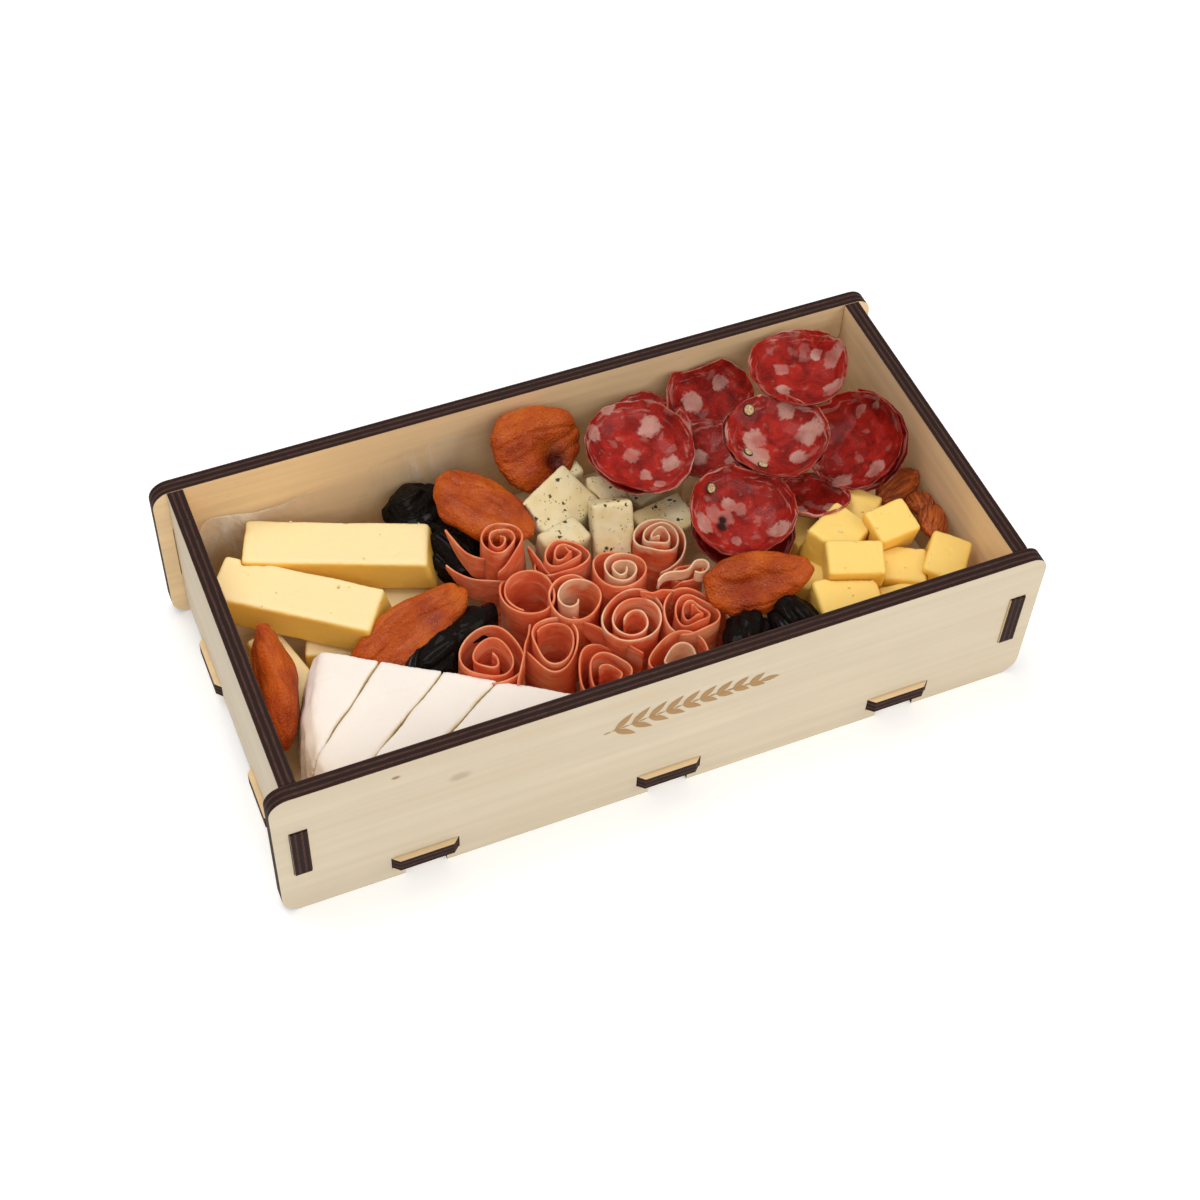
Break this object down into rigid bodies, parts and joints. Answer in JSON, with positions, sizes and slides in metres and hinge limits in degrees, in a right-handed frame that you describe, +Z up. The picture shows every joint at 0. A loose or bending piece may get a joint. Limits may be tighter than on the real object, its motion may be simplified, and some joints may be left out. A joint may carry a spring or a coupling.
{
  "type": "charcuterie board",
  "caption": "Open plywood box of sliced salami, rolled ham, brie, firm and herb cheese, dried apricots, prunes and almonds, served as a charcuterie board.",
  "frame": {"origin": "under the middle of the box, on the surface it stands on", "axes": "+X along the long front panel to its right end, +Y from the front panel to the back panel, +Z up"},
  "size_m": [0.3, 0.1554, 0.0775],
  "materials": {
    "plywood": "raw sanded birch plywood with laser-charred edges",
    "clear_film": "thin clear food film, glossy and wrinkled",
    "firm_cheese": "pale yellow firm cheese with a cut, slightly waxy surface",
    "brie": "white bloomy rind, dry and matte",
    "herb_cheese": "cream cheese block with dark specks of herb and pepper",
    "dried_apricot": "leathery orange dried fruit with a slight sheen",
    "prune": "near-black wrinkled dried plum, moist and glossy",
    "ham": "thin moist cured ham, coral with cream fat",
    "salami": "oily deep red sliced sausage with pale fat spots",
    "almond": "brown almond skin with fine lengthwise grooves"
  },
  "bodies": {
    "root": {"almond_1": "almond", "almond_2": "almond", "almond_3": "almond", "apricot_1": "dried_apricot", "apricot_2": "dried_apricot", "apricot_3": "dried_apricot", "apricot_4": "dried_apricot", "apricot_5": "dried_apricot", "back_panel": "plywood", "base_panel": "plywood", "brie_slice_1": "brie", "brie_slice_2": "brie", "brie_slice_3": "brie", "brie_slice_4": "brie", "cheese_cube_1": "firm_cheese", "cheese_cube_2": "firm_cheese", "cheese_cube_3": "firm_cheese", "cheese_cube_4": "firm_cheese", "cheese_cube_5": "firm_cheese", "cheese_cube_6": "firm_cheese", "cheese_cube_7": "firm_cheese", "cheese_stick_1": "firm_cheese", "cheese_stick_2": "firm_cheese", "cheese_stick_3": "firm_cheese", "cheese_stick_4": "firm_cheese", "clear_liner": "clear_film", "front_panel": "plywood", "ham_roll_1": "ham", "ham_roll_10": "ham", "ham_roll_11": "ham", "ham_roll_12": "ham", "ham_roll_13": "ham", "ham_roll_2": "ham", "ham_roll_3": "ham", "ham_roll_4": "ham", "ham_roll_5": "ham", "ham_roll_6": "ham", "ham_roll_7": "ham", "ham_roll_8": "ham", "ham_roll_9": "ham", "herb_cheese_1": "herb_cheese", "herb_cheese_2": "herb_cheese", "herb_cheese_3": "herb_cheese", "herb_cheese_4": "herb_cheese", "herb_cheese_5": "herb_cheese", "left_end_panel": "plywood", "prune_1": "prune", "prune_2": "prune", "prune_3": "prune", "prune_4": "prune", "prune_5": "prune", "right_end_panel": "plywood", "salami_1": "salami", "salami_2": "salami", "salami_3": "salami", "salami_4": "salami", "salami_5": "salami", "salami_6": "salami", "salami_7": "salami", "salami_8": "salami"}
  },
  "joints": []
}
